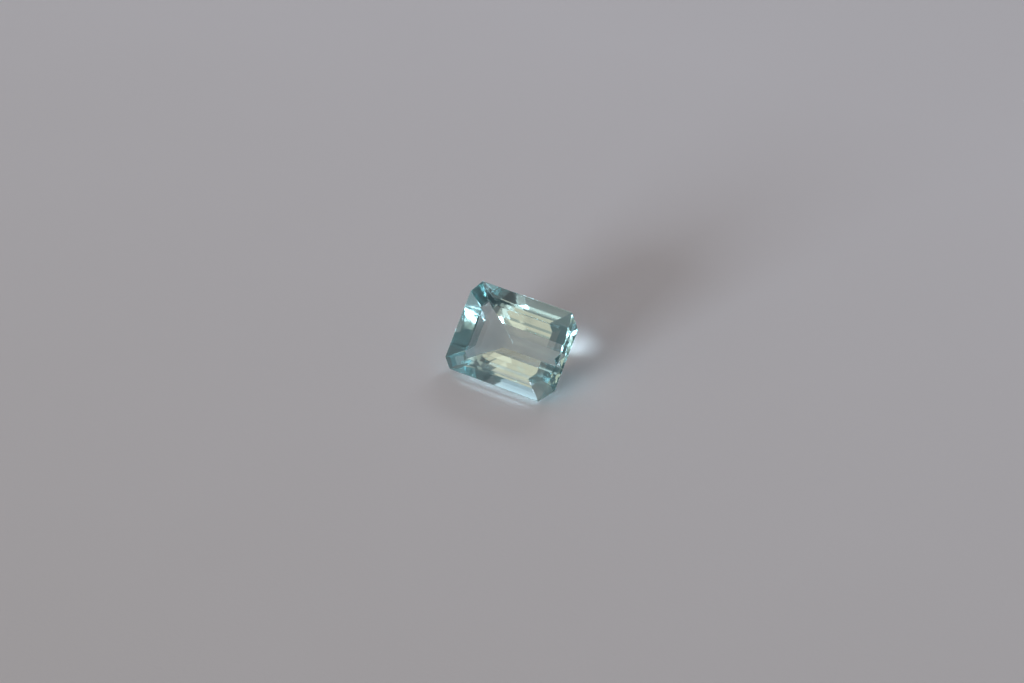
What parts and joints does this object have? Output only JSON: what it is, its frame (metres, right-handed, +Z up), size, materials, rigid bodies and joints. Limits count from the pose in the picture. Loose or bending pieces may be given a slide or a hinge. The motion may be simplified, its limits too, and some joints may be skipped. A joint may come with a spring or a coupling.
{
  "type": "faceted aquamarine gemstone",
  "caption": "Loose pale blue-green aquamarine in an octagon step cut, with a flat table, stepped crown and a deep stepped pavilion, lying tilted on a long pavilion facet.",
  "frame": {"origin": "on the surface the stone lies on, under the middle of its box", "axes": "+X along the stone's length, +Z up, the table faces up and towards -Y"},
  "size_m": [0.008, 0.0046, 0.0048],
  "materials": {
    "aquamarine": "clear, polished flat facets"
  },
  "bodies": {
    "root": {"gem": "aquamarine"}
  },
  "joints": []
}
